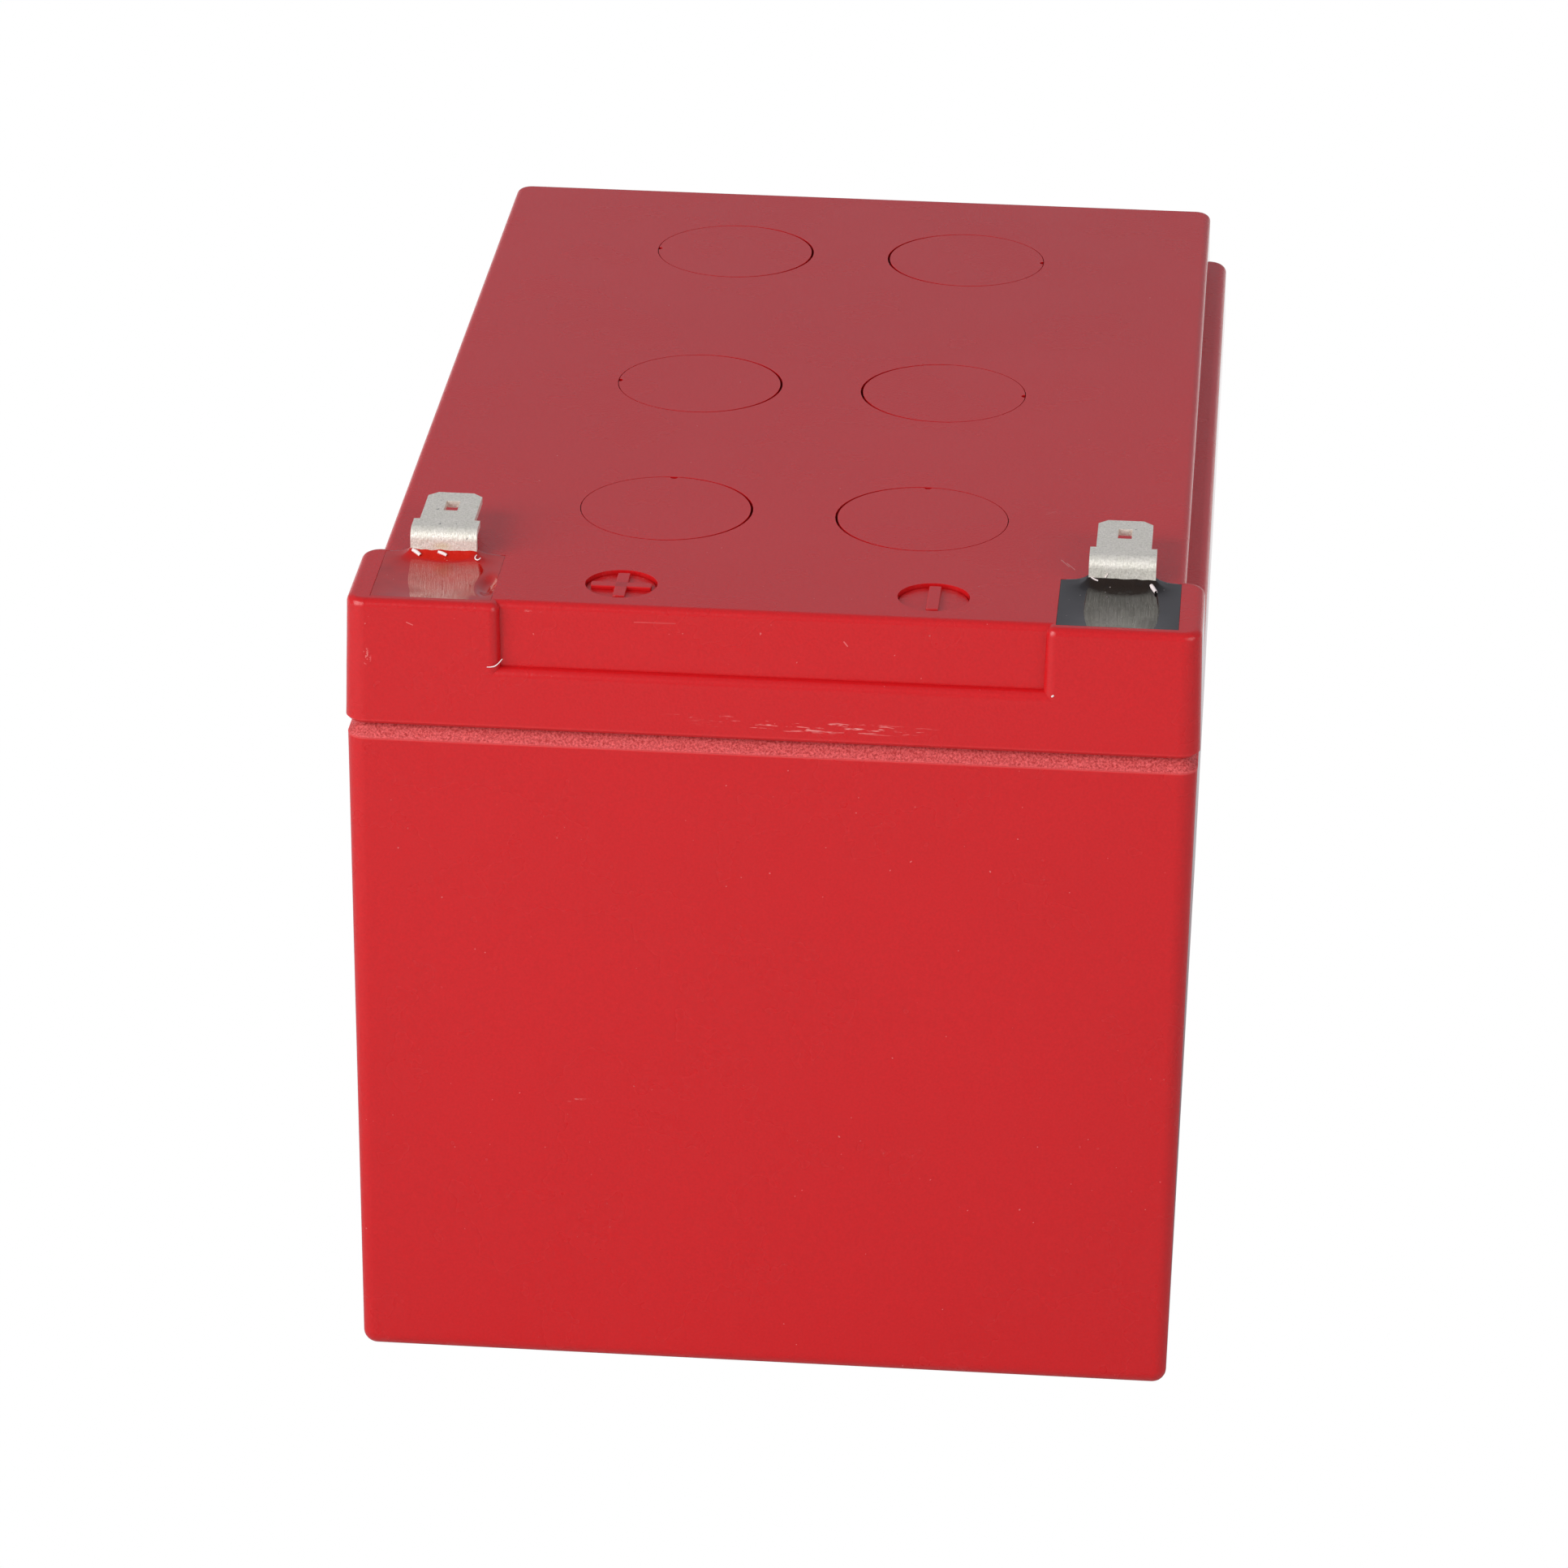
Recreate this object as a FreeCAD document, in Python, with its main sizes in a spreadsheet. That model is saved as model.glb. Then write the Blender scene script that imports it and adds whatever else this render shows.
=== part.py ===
import FreeCAD, Part
import math
import os
import re
import Sketcher

# Sealed lead acid battery with two blade terminals, as a parametric document.
# Millimetres: X across the width, Y along the length with the terminals at the front
# (-Y), Z up. The origin is the middle of the underside of the case.

Vector = FreeCAD.Vector

# Driving dimensions: alias, then millimetres, degrees or a count.
SIZES = [
    ("overall_length", "151"),
    ("overall_width", "98"),
    ("lid_top_height", "97"),
    ("lid_height", "15.2"),
    ("groove_height", "1.8"),
    ("ledge_drop", "7.8"),
    ("lid_draft", "1.2"),
    ("case_draft", "0.55"),
    ("cell_draft", "0.3"),
    ("skirt_corner", "2.5"),
    ("ledge_round", "1.1"),
    ("top_round", "0.9"),
    ("skirt_lip", "0.4"),
    ("case_step", "0.2"),
    ("case_corner", "2.2"),
    ("case_foot_round", "1.8"),
    ("case_wall", "3"),
    ("case_floor", "3"),
    ("partition", "1.8"),
    ("shoulder_depth", "1.4"),
    ("tongue_drop", "1.2"),
    ("joint_clearance", "0.2"),
    ("bead_thickness", "0.6"),
    ("bead_clearance", "0.1"),
    ("lid_plate", "3"),
    ("channel_rib", "1.4"),
    ("plateau_side_inset", "2.35"),
    ("plateau_back_inset", "2.65"),
    ("plateau_corner", "2.2"),
    ("recess_depth", "1.35"),
    ("block_gap", "61.6"),
    ("block_length", "16.9"),
    ("block_corner", "2.5"),
    ("block_edge_round", "1.4"),
    ("pocket_width", "13.9"),
    ("pocket_length", "13.8"),
    ("pocket_side_wall", "3"),
    ("pocket_front_wall", "1.75"),
    ("pocket_wall", "1.5"),
    ("well_depth", "8.6"),
    ("well_floor", "2.2"),
    ("resin_drop", "0.15"),
    ("cover_radius", "10"),
    ("cover_gap", "0.2"),
    ("cover_drift", "0.1"),
    ("cover_thickness", "1.8"),
    ("cover_seat", "1.3"),
    ("cover_nick", "0.45"),
    ("well_wall", "1.6"),
    ("vent_inset", "8.295"),
    ("vent_shift_1", "5.75"),
    ("vent_shift_2", "-0.75"),
    ("vent_shift_3", "0.1"),
    ("chimney_radius", "3.5"),
    ("chimney_bore", "1.6"),
    ("valve_cap_wall", "1.5"),
    ("valve_cap_top", "1.2"),
    ("valve_cap_clearance", "0.05"),
    ("valve_cap_lift", "0.3"),
    ("valve_cap_edge", "0.5"),
    ("mark_radius", "4.15"),
    ("mark_depth", "0.7"),
    ("mark_from_middle", "17.9"),
    ("mark_from_front", "8.45"),
    ("blade_from_side", "9.85"),
    ("blade_width", "6.35"),
    ("blade_root_width", "7.7"),
    ("blade_thickness", "0.8"),
    ("blade_rise", "3.3"),
    ("blade_from_front", "14.3"),
    ("blade_neck", "3.4"),
    ("blade_length", "8.5"),
    ("blade_bend", "0.5"),
    ("blade_tip_chamfer", "1.1"),
    ("blade_foot", "10.6"),
    ("detent_width", "1.6"),
    ("detent_length", "2.9"),
    ("detent_from_tip", "2.7"),
    ("post_radius", "2.4"),
    ("post_from_front", "8.4"),
    ("post_clearance", "0.2"),
    ("post_stand", "2.2"),
    ("positive_plate", "2.8"),
    ("negative_plate", "2"),
    ("positive_count", "5"),
    ("stack_clearance", "0.9"),
    ("plate_lift", "1.5"),
    ("mat_clearance", "0.9"),
    ("mat_overhang", "0.7"),
    ("mat_rise", "2"),
    ("lug_width", "7"),
    ("lug_height", "5.5"),
    ("lug_inset", "0.6"),
    ("strap_width", "9"),
    ("strap_thickness", "4.5"),
    ("strap_drop", "6.5"),
    ("strap_clearance", "0.1"),
    ("tombstone_width", "12"),
    ("tombstone_thickness", "3"),
    ("tombstone_rise", "1.6"),
    ("weld_radius", "2.2"),
    ("weld_clearance", "0.1"),
]

# Places worked out from the driving dimensions.
PLACES = [
    ("skirt_half_x", "overall_width / 2"),
    ("skirt_half_y", "overall_length / 2"),
    ("ledge_height", "lid_top_height - ledge_drop"),
    ("skirt_bottom_height", "lid_top_height - lid_height"),
    ("case_shoulder_height", "skirt_bottom_height - groove_height"),
    ("case_half_x", "skirt_half_x - case_step"),
    ("case_half_y", "skirt_half_y - case_step"),
    ("cell_half_x", "case_half_x - case_wall"),
    ("cell_half_y", "case_half_y - case_wall"),
    ("tongue_half_x", "case_half_x - shoulder_depth"),
    ("tongue_half_y", "case_half_y - shoulder_depth"),
    ("tongue_corner", "case_corner - shoulder_depth"),
    ("tongue_base", "case_shoulder_height + shoulder_depth"),
    ("well_bottom", "lid_top_height - well_depth"),
    ("boss_bottom", "well_bottom - well_floor"),
    ("tongue_top", "boss_bottom - tongue_drop"),
    ("cell_width", "cell_half_x - partition / 2"),
    ("cell_length", "(2 * cell_half_y - 2 * partition) / 3"),
    ("cell_column", "partition / 2 + cell_width / 2"),
    ("cell_pitch", "cell_length + partition"),
    ("channel_top", "tongue_top + bead_thickness"),
    ("chamber_top", "lid_top_height - lid_plate"),
    ("plateau_base", "ledge_height - ledge_round"),
    ("plateau_half_x", "skirt_half_x - plateau_side_inset"),
    ("plateau_back", "skirt_half_y - plateau_back_inset"),
    ("plateau_front", "recess_depth - skirt_half_y"),
    ("block_back", "block_length - skirt_half_y"),
    ("pocket_outer", "skirt_half_x - pocket_side_wall"),
    ("pocket_inner", "pocket_outer - pocket_width"),
    ("pocket_front", "pocket_front_wall - skirt_half_y"),
    ("pocket_back", "pocket_front + pocket_length"),
    ("resin_top", "lid_top_height - resin_drop"),
    ("rebate_radius", "cover_radius + cover_gap"),
    ("well_radius", "rebate_radius - cover_seat"),
    ("seat_height", "lid_top_height - cover_thickness"),
    ("chimney_top", "seat_height - valve_cap_top"),
    ("valve_cap_bore", "chimney_radius + valve_cap_clearance"),
    ("valve_cap_bottom", "well_bottom + valve_cap_lift"),
    ("vent_column", "cell_column - vent_inset"),
    ("vent_row_1", "vent_shift_1 - cell_pitch"),
    ("vent_row_2", "vent_shift_2"),
    ("vent_row_3", "vent_shift_3 + cell_pitch"),
    ("mark_y", "mark_from_front - skirt_half_y"),
    ("blade_column", "skirt_half_x - blade_from_side"),
    ("blade_y", "blade_from_front - skirt_half_y"),
    ("blade_top", "lid_top_height + blade_rise"),
    ("blade_step", "blade_y + blade_neck"),
    ("blade_tip", "blade_step + blade_length"),
    ("blade_outer_bend", "blade_bend + blade_thickness"),
    ("foot_tip", "blade_y - blade_foot"),
    ("post_y", "post_from_front - skirt_half_y"),
    ("post_top", "well_bottom + post_stand"),
    ("stack_half", "cell_width / 2 - stack_clearance"),
    ("plate_pitch", "(2 * stack_half - negative_plate) / positive_count"),
    ("separator", "(plate_pitch - positive_plate - negative_plate) / 2"),
    ("separator_length", "cell_length - 2 * mat_clearance"),
    ("plate_length", "separator_length - 2 * mat_overhang"),
    ("strap_top", "tongue_top - strap_drop"),
    ("strap_bottom", "strap_top - strap_thickness"),
    ("plate_bottom", "case_floor + plate_lift"),
    ("plate_top", "strap_bottom - lug_height"),
    ("separator_height", "plate_top + mat_rise - case_floor"),
    ("strap_line", "cell_half_y - strap_clearance - strap_width / 2"),
    ("weld_height", "strap_top - weld_radius"),
]

SIDES = {"left": -1, "right": 1}
ROWS = {1: -1, 2: 0, 3: 1}

# Points closer than this count as one place.
SAME_PLACE = 0.01

doc = FreeCAD.newDocument("lead_acid_battery")
solids = []


# Sheets and formulas

def qualified(formula):
    """Put the sheet's name before each alias in a formula."""
    drivers = {alias for alias, _ in SIZES}

    def with_sheet(match):
        word = match.group(0)
        return ("Sizes." if word in drivers else "Places.") + word

    return re.sub(r"\b[a-z]\w*\b", with_sheet, formula)


def fill_sheet(name, rows):
    sheet = doc.addObject("Spreadsheet::Sheet", name)
    for number, (alias, content) in enumerate(rows, start=1):
        sheet.set("A%d" % number, alias)
        sheet.set("B%d" % number, content)
        sheet.setAlias("B%d" % number, alias)
    return sheet


fill_sheet("Sizes", SIZES)
fill_sheet("Places", [(alias, "=" + qualified(formula)) for alias, formula in PLACES])
spare = doc.addObject("Spreadsheet::Sheet", "Spare")
doc.recompute()


def amount(formula):
    """Present value of a formula, worked out in a spare sheet that nothing reads."""
    spare.set("A1", "=" + qualified(formula))
    spare.recompute()
    return float(spare.get("A1"))


def bind(item, path, formula):
    item.setExpression(path, qualified(formula))


def span(side, near, far):
    """Lower and upper limit of what lies from near to far on one side of the middle."""
    if side > 0:
        return near, far
    return "-(%s)" % far, "-(%s)" % near


def on_side(side, distance):
    return distance if side > 0 else "-(%s)" % distance


# Sketches

def sketch_in(body, name, role, offset="0"):
    """Empty sketch on one of the body's own planes, moved along its normal."""
    plane = [item for item in body.Origin.OriginFeatures if item.Role == role][0]
    sketch = body.newObject("Sketcher::SketchObject", name)
    sketch.AttachmentSupport = [(plane, "")]
    sketch.MapMode = "FlatFace"
    bind(sketch, ".AttachmentOffset.Base.z", offset)
    return sketch


def dimension(sketch, kind, formula, *place):
    number = sketch.addConstraint(Sketcher.Constraint(kind, *place, amount(formula)))
    bind(sketch, "Constraints[%d]" % number, formula)


def square_up(sketch, first, limits):
    """Hold four sides level and upright at the limits left, right, front and back."""
    left, right, front, back = limits
    for number, kind in enumerate(("Horizontal", "Vertical", "Horizontal", "Vertical")):
        sketch.addConstraint(Sketcher.Constraint(kind, first + number))
    dimension(sketch, "DistanceX", left, -1, 1, first + 3, 1)
    dimension(sketch, "DistanceX", right, -1, 1, first + 1, 1)
    dimension(sketch, "DistanceY", front, -1, 1, first, 1)
    dimension(sketch, "DistanceY", back, -1, 1, first + 2, 1)


def rectangle(sketch, left, right, front, back):
    """Rectangle whose four limits are formulas."""
    x0, x1, y0, y1 = amount(left), amount(right), amount(front), amount(back)
    corners = [Vector(x0, y0, 0), Vector(x1, y0, 0), Vector(x1, y1, 0), Vector(x0, y1, 0)]
    first = sketch.GeometryCount
    for number in range(4):
        sketch.addGeometry(Part.LineSegment(corners[number], corners[(number + 1) % 4]), False)
    for number in range(4):
        following = first + (number + 1) % 4
        sketch.addConstraint(Sketcher.Constraint("Coincident", first + number, 2, following, 1))
    square_up(sketch, first, (left, right, front, back))


def rounded_rectangle(sketch, left, right, front, back, radii):
    """Rectangle with tangent corner arcs, from the front left corner anticlockwise."""
    x0, x1, y0, y1 = amount(left), amount(right), amount(front), amount(back)
    corners = [(x0, y0), (x1, y0), (x1, y1), (x0, y1)]
    along = [(1, 0), (0, 1), (-1, 0), (0, -1)]
    reach = [amount(radius) for radius in radii]
    first = sketch.GeometryCount
    for number in range(4):
        after = (number + 1) % 4
        (ax, ay), (bx, by), (dx, dy) = corners[number], corners[after], along[number]
        start = Vector(ax + dx * reach[number], ay + dy * reach[number], 0)
        end = Vector(bx - dx * reach[after], by - dy * reach[after], 0)
        sketch.addGeometry(Part.LineSegment(start, end), False)
    for number in range(4):
        (cx, cy), (dx, dy), (px, py) = corners[number], along[number], along[number - 1]
        centre = Vector(cx + (dx - px) * reach[number], cy + (dy - py) * reach[number], 0)
        turn = math.pi + number * math.pi / 2
        corner = Part.Circle(centre, Vector(0, 0, 1), reach[number])
        sketch.addGeometry(Part.ArcOfCircle(corner, turn, turn + math.pi / 2), False)
    for number in range(4):
        arc, following = first + 4 + number, first + 4 + (number + 1) % 4
        sketch.addConstraint(Sketcher.Constraint("Tangent", arc, 2, first + number, 1))
        sketch.addConstraint(Sketcher.Constraint("Tangent", first + number, 2, following, 1))
        dimension(sketch, "Radius", radii[number], arc)
    square_up(sketch, first, (left, right, front, back))


def circle(sketch, across, along, radius):
    centre = Vector(amount(across), amount(along), 0)
    ring = Part.Circle(centre, Vector(0, 0, 1), amount(radius))
    number = sketch.addGeometry(ring, False)
    dimension(sketch, "DistanceX", across, -1, 1, number, 3)
    dimension(sketch, "DistanceY", along, -1, 1, number, 3)
    dimension(sketch, "Radius", radius, number)


def outline(sketch, corners):
    """Closed run of level and upright lines through corners given as formulas."""
    points = [Vector(amount(across), amount(up), 0) for across, up in corners]
    first = sketch.GeometryCount
    count = len(points)
    for number in range(count):
        sketch.addGeometry(Part.LineSegment(points[number], points[(number + 1) % count]), False)
    for number in range(count):
        line, following = first + number, first + (number + 1) % count
        sketch.addConstraint(Sketcher.Constraint("Coincident", line, 2, following, 1))
        level = abs(points[number].y - points[(number + 1) % count].y) < 1e-6
        sketch.addConstraint(Sketcher.Constraint("Horizontal" if level else "Vertical", line))
        if level:
            dimension(sketch, "DistanceY", corners[number][1], -1, 1, line, 1)
        else:
            dimension(sketch, "DistanceX", corners[number][0], -1, 1, line, 1)


# Features

def new_body(name):
    body = doc.addObject("PartDesign::Body", name)
    body.Label = name
    body.AllowCompound = True
    solids.append(body)
    return body


def pad(body, name, sketch, length, taper=None, down=False, both_ways=False):
    feature = body.newObject("PartDesign::Pad", name)
    feature.Profile = sketch
    feature.Reversed = down
    feature.Midplane = both_ways
    bind(feature, "Length", length)
    if taper:
        bind(feature, "TaperAngle", taper)
    doc.recompute()
    return feature


def pocket(body, name, sketch, length, upward=False, taper=None, both_ways=False):
    """Pocket under its sketch, or over it, that has to take material away."""
    before = body.Shape.Volume
    feature = body.newObject("PartDesign::Pocket", name)
    feature.Profile = sketch
    feature.Reversed = upward
    feature.Midplane = both_ways
    bind(feature, "Length", length)
    if taper:
        bind(feature, "TaperAngle", taper)
    doc.recompute()
    if not body.Shape.Volume < before:
        raise RuntimeError(name + " cuts nothing")
    return feature


def edges_at(shape, test):
    """Names of the edges whose ends and middle all pass a test."""
    names = []
    for number, edge in enumerate(shape.Edges, start=1):
        points = [vertex.Point for vertex in edge.Vertexes] + [edge.CenterOfMass]
        if all(test(point) for point in points):
            names.append("Edge%d" % number)
    return names


def ease_edges(body, name, test, formula, kind="Fillet"):
    """Fillet or chamfer the edges that pass a test."""
    base = body.Tip
    feature = body.newObject("PartDesign::" + kind, name)
    feature.Base = (base, edges_at(base.Shape, test))
    bind(feature, "Radius" if kind == "Fillet" else "Size", formula)
    doc.recompute()
    return feature


def at_height(formula):
    height = amount(formula)
    return lambda point: abs(point.z - height) < SAME_PLACE


def row_of_copies(body, name, original, axis_role, pitch, count):
    """Repeat a feature along one of the body's own axes."""
    axis = [item for item in body.Origin.OriginFeatures if item.Role == axis_role][0]
    feature = body.newObject("PartDesign::LinearPattern", name)
    feature.Originals = [original]
    feature.Direction = (axis, [""])
    bind(feature, "Length", "(%s) * (%s - 1)" % (pitch, count))
    bind(feature, "Occurrences", count)
    body.Tip = feature
    doc.recompute()
    return feature


# Plan of the six cells, shared by the case, the lid and the adhesive

def cell_limits(side, row, inset):
    """Plan limits of one cell at the top of its walls, drawn in all round."""
    near = "partition / 2 + " + inset
    left, right = span(side, near, "cell_half_x - " + inset)
    if row == 0:
        half = "cell_length / 2 - " + inset
        front, back = "-(%s)" % half, half
    else:
        near = "cell_length / 2 + partition + " + inset
        front, back = span(row, near, "cell_half_y - " + inset)
    return left, right, front, back


def draw_cells(sketch, inset):
    for side in SIDES.values():
        for row in ROWS.values():
            rectangle(sketch, *cell_limits(side, row, inset))


# Case: one moulded tub with six cells and a tongue that enters the lid

def make_case():
    body = new_body("case")
    tub = sketch_in(body, "tub_outline", "XY_Plane", "tongue_base")
    rounded_rectangle(tub, "-case_half_x", "case_half_x", "-case_half_y", "case_half_y",
                      ["case_corner"] * 4)
    pad(body, "tub", tub, "tongue_base", taper="-case_draft", down=True)
    ease_edges(body, "foot_round", at_height("0"), "case_foot_round")
    ease_edges(body, "shoulder", at_height("tongue_base"), "shoulder_depth", "Chamfer")
    tongue = sketch_in(body, "tongue_outline", "XY_Plane", "tongue_base")
    rounded_rectangle(tongue, "-tongue_half_x", "tongue_half_x", "-tongue_half_y",
                      "tongue_half_y", ["tongue_corner"] * 4)
    pad(body, "tongue", tongue, "tongue_top - tongue_base")
    cells = sketch_in(body, "cell_outlines", "XY_Plane", "tongue_top")
    draw_cells(cells, "0")
    pocket(body, "cells", cells, "tongue_top - case_floor", taper="-cell_draft")
    cross = sketch_in(body, "cross_weld_outline", "XZ_Plane")
    for side in SIDES.values():
        circle(cross, on_side(side, "cell_column"), "weld_height", "weld_radius + weld_clearance")
    pocket(body, "cross_weld_holes", cross, "cell_length + 4 * partition", both_ways=True)
    middle = sketch_in(body, "middle_weld_outline", "YZ_Plane")
    circle(middle, "strap_line", "weld_height", "weld_radius + weld_clearance")
    pocket(body, "middle_weld_hole", middle, "4 * partition", both_ways=True)


# Lid: skirt, raised plateau, two terminal blocks and the wells under them

def draw_blocks(sketch):
    for side in SIDES.values():
        left, right = span(side, "block_gap / 2", "skirt_half_x")
        radii = ["block_edge_round", "skirt_corner", "block_corner", "block_edge_round"]
        if side < 0:
            radii = [radii[1], radii[0], radii[3], radii[2]]
        rounded_rectangle(sketch, left, right, "-skirt_half_y", "block_back", radii)


def each_vent():
    """Name, side and row place of each vent."""
    for side_name, side in SIDES.items():
        for row in ROWS:
            yield "%s_%d" % (side_name, row), side, "vent_row_%d" % row


def draw_vents(sketch, radius):
    for _, side, row_place in each_vent():
        circle(sketch, on_side(side, "vent_column"), row_place, radius)


def draw_terminal_pockets(sketch, extra):
    for side in SIDES.values():
        left, right = span(side, "pocket_inner - " + extra, "pocket_outer")
        rectangle(sketch, left, right, "pocket_front", "pocket_back + " + extra)


def make_lid_shell(body):
    skirt = sketch_in(body, "skirt_outline", "XY_Plane", "skirt_bottom_height")
    rounded_rectangle(skirt, "-skirt_half_x", "skirt_half_x", "-skirt_half_y", "skirt_half_y",
                      ["skirt_corner"] * 4)
    pad(body, "skirt", skirt, "ledge_height - skirt_bottom_height", taper="-lid_draft")
    ease_edges(body, "ledge_round", at_height("ledge_height"), "ledge_round")
    plateau = sketch_in(body, "plateau_outline", "XY_Plane", "plateau_base")
    rounded_rectangle(plateau, "-plateau_half_x", "plateau_half_x", "plateau_front",
                      "plateau_back", ["plateau_corner"] * 4)
    pad(body, "plateau", plateau, "lid_top_height - plateau_base", taper="-lid_draft")
    blocks = sketch_in(body, "block_outlines", "XY_Plane", "skirt_bottom_height")
    draw_blocks(blocks)
    pad(body, "terminal_blocks", blocks, "lid_top_height - skirt_bottom_height",
        taper="-lid_draft")
    ease_edges(body, "top_round", at_height("lid_top_height"), "top_round")
    ease_edges(body, "skirt_lip", at_height("skirt_bottom_height"), "skirt_lip", "Chamfer")


def hollow_lid(body):
    channel = sketch_in(body, "channel_outline", "XY_Plane", "skirt_bottom_height")
    half_x, half_y = "tongue_half_x + joint_clearance", "tongue_half_y + joint_clearance"
    rectangle(channel, "-(%s)" % half_x, half_x, "-(%s)" % half_y, half_y)
    draw_cells(channel, "joint_clearance")
    pocket(body, "tongue_channel", channel, "channel_top - skirt_bottom_height", upward=True)
    chambers = sketch_in(body, "chamber_outlines", "XY_Plane", "skirt_bottom_height")
    draw_cells(chambers, "(joint_clearance + channel_rib)")
    pocket(body, "chambers", chambers, "chamber_top - skirt_bottom_height", upward=True)
    bosses = sketch_in(body, "boss_outlines", "XY_Plane", "boss_bottom")
    draw_vents(bosses, "well_radius + well_wall")
    draw_terminal_pockets(bosses, "pocket_wall")
    pad(body, "bosses", bosses, "chamber_top - boss_bottom")


def cut_wells(body):
    rebates = sketch_in(body, "rebate_outlines", "XY_Plane", "lid_top_height")
    draw_vents(rebates, "rebate_radius")
    pocket(body, "cover_rebates", rebates, "cover_thickness")
    clearances = sketch_in(body, "cap_outlines", "XY_Plane", "seat_height")
    draw_vents(clearances, "well_radius")
    pocket(body, "cap_spaces", clearances, "valve_cap_top")
    wells = sketch_in(body, "well_outlines", "XY_Plane", "chimney_top")
    draw_vents(wells, "well_radius")
    draw_vents(wells, "chimney_radius")
    pocket(body, "vent_wells", wells, "chimney_top - well_bottom")
    bores = sketch_in(body, "bore_outlines", "XY_Plane", "chimney_top")
    draw_vents(bores, "chimney_bore")
    pocket(body, "chimney_bores", bores, "chimney_top - boss_bottom")
    pockets = sketch_in(body, "pocket_outlines", "XY_Plane", "lid_top_height")
    draw_terminal_pockets(pockets, "0")
    pocket(body, "terminal_pockets", pockets, "well_depth")
    holes = sketch_in(body, "post_hole_outlines", "XY_Plane", "well_bottom")
    for side in SIDES.values():
        circle(holes, on_side(side, "blade_column"), "post_y",
               "post_radius + post_clearance")
    pocket(body, "post_holes", holes, "well_floor")


def cut_marks(body):
    """Sunk discs for the polarity marks, one beside each terminal block."""
    discs = sketch_in(body, "mark_outlines", "XY_Plane", "lid_top_height")
    for side in SIDES.values():
        circle(discs, on_side(side, "mark_from_middle"), "mark_y", "mark_radius")
    pocket(body, "mark_discs", discs, "mark_depth")


def make_lid():
    body = new_body("lid")
    make_lid_shell(body)
    hollow_lid(body)
    cut_wells(body)
    cut_marks(body)


# Adhesive bead between the tongue and partitions of the case and the lid

def make_adhesive():
    body = new_body("lid_adhesive")
    bead = sketch_in(body, "bead_outline", "XY_Plane", "tongue_top")
    swell = "joint_clearance - bead_clearance"
    half_x, half_y = "tongue_half_x + " + swell, "tongue_half_y + " + swell
    rectangle(bead, "-(%s)" % half_x, half_x, "-(%s)" % half_y, half_y)
    draw_cells(bead, "(%s)" % swell)
    pad(body, "bead", bead, "bead_thickness")


# Vents: a rubber cap over each chimney and a round cover pressed in above it

def make_vent(name, side, row_place):
    column = "vent_column"
    cap = new_body("valve_cap_" + name)
    disc = sketch_in(cap, "cap_outline_" + name, "XY_Plane", "valve_cap_bottom")
    circle(disc, on_side(side, column), row_place, "valve_cap_bore + valve_cap_wall")
    pad(cap, "cap_" + name, disc, "seat_height - valve_cap_bottom")
    bore = sketch_in(cap, "cap_bore_outline_" + name, "XY_Plane", "valve_cap_bottom")
    circle(bore, on_side(side, column), row_place, "valve_cap_bore")
    pocket(cap, "cap_bore_" + name, bore, "chimney_top - valve_cap_bottom", upward=True)
    ease_edges(cap, "cap_edge_" + name, at_height("seat_height"), "valve_cap_edge", "Chamfer")

    cover = new_body("vent_cover_" + name)
    disc = sketch_in(cover, "cover_outline_" + name, "XY_Plane", "seat_height")
    place = on_side(side, column + " + cover_drift")
    circle(disc, place, row_place, "cover_radius")
    pad(cover, "cover_" + name, disc, "cover_thickness")
    nick = sketch_in(cover, "nick_outline_" + name, "XY_Plane", "lid_top_height")
    if row_place == "vent_row_1":
        circle(nick, place, row_place + " + cover_radius", "cover_nick")
    else:
        reach = on_side(side, column + " + cover_drift + cover_radius")
        circle(nick, reach, row_place, "cover_nick")
    pocket(cover, "gate_nick_" + name, nick, "cover_thickness / 2")


# Terminals: blade, lead post and the resin that pots them

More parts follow.
